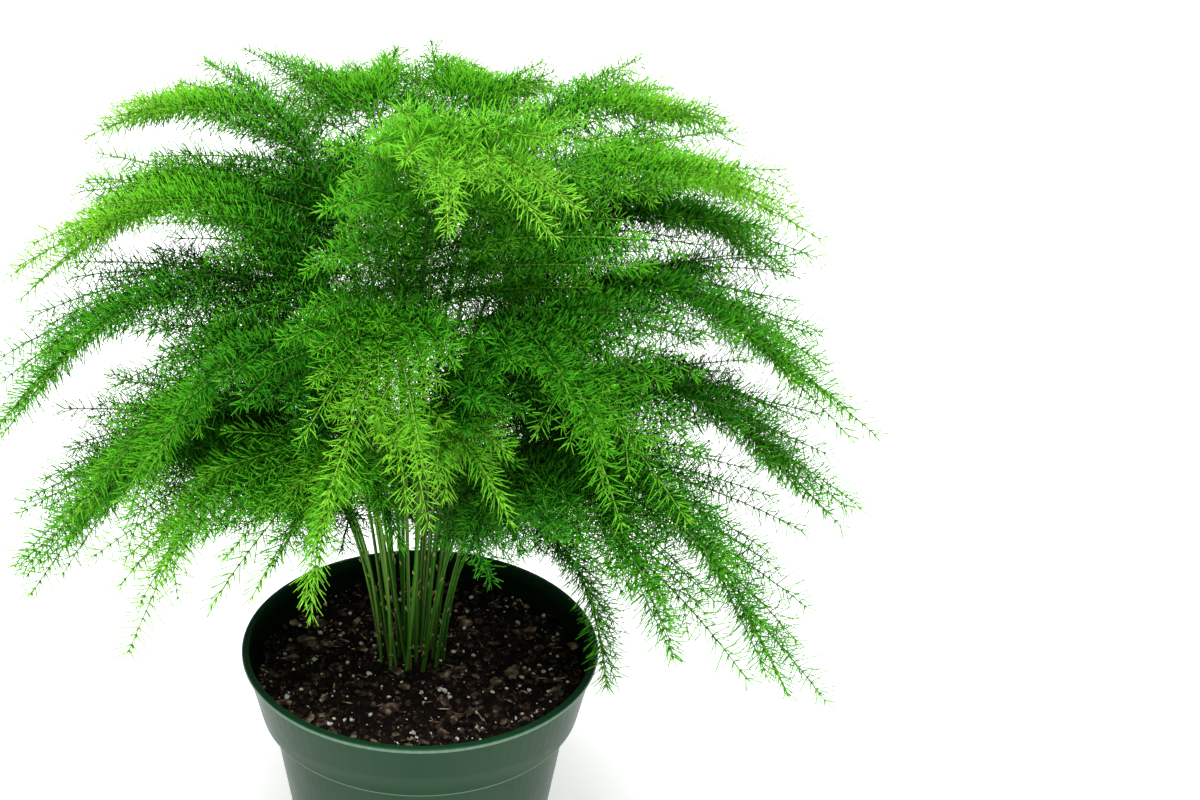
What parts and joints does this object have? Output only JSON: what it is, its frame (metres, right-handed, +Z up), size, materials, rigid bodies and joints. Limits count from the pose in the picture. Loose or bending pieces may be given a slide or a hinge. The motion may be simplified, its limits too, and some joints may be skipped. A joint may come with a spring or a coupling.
{
  "type": "foxtail fern",
  "caption": "Bushy foxtail (asparagus) fern with arching needle-leaved fronds, growing in a round plastic nursery pot filled with soil.",
  "frame": {"origin": "centre of the pot's flat underside, on the surface that the pot stands on", "axes": "+Z up along the pot's axis; the plant's widest spread runs along X and its fresh lime fronds face -Y, the front"},
  "size_m": [0.3789, 0.2607, 0.4179],
  "materials": {
    "pot_plastic": "semi-matt injection-moulded polypropylene, dark green",
    "potting_soil": "loose peat and bark with white perlite",
    "green_foliage": "living foliage, mid green, slightly glossy",
    "lime_foliage": "young living foliage, lime green, slightly glossy"
  },
  "bodies": {
    "root": {"frond_crown_back": "green_foliage", "frond_crown_back_right": "green_foliage", "frond_crown_front": "lime_foliage", "frond_crown_left": "green_foliage", "frond_crown_left_back": "green_foliage", "frond_crown_right": "green_foliage", "frond_crown_right_back": "green_foliage", "frond_side_back_left": "green_foliage", "frond_side_back_right": "green_foliage", "frond_side_front": "green_foliage", "frond_side_front_right": "green_foliage", "frond_side_left": "green_foliage", "frond_side_left_back": "green_foliage", "frond_side_left_front": "green_foliage", "frond_side_right": "green_foliage", "frond_side_right_back": "green_foliage", "frond_skirt_back": "green_foliage", "frond_skirt_front": "lime_foliage", "frond_skirt_front_left": "green_foliage", "frond_skirt_front_mid": "lime_foliage", "frond_skirt_front_right": "green_foliage", "frond_skirt_left": "green_foliage", "frond_skirt_left_back": "green_foliage", "frond_skirt_left_front": "green_foliage", "frond_skirt_right": "green_foliage", "frond_skirt_right_back": "green_foliage", "frond_skirt_right_front": "green_foliage", "frond_skirt_right_whip": "green_foliage", "pot": "pot_plastic", "soil": "potting_soil"}
  },
  "joints": []
}
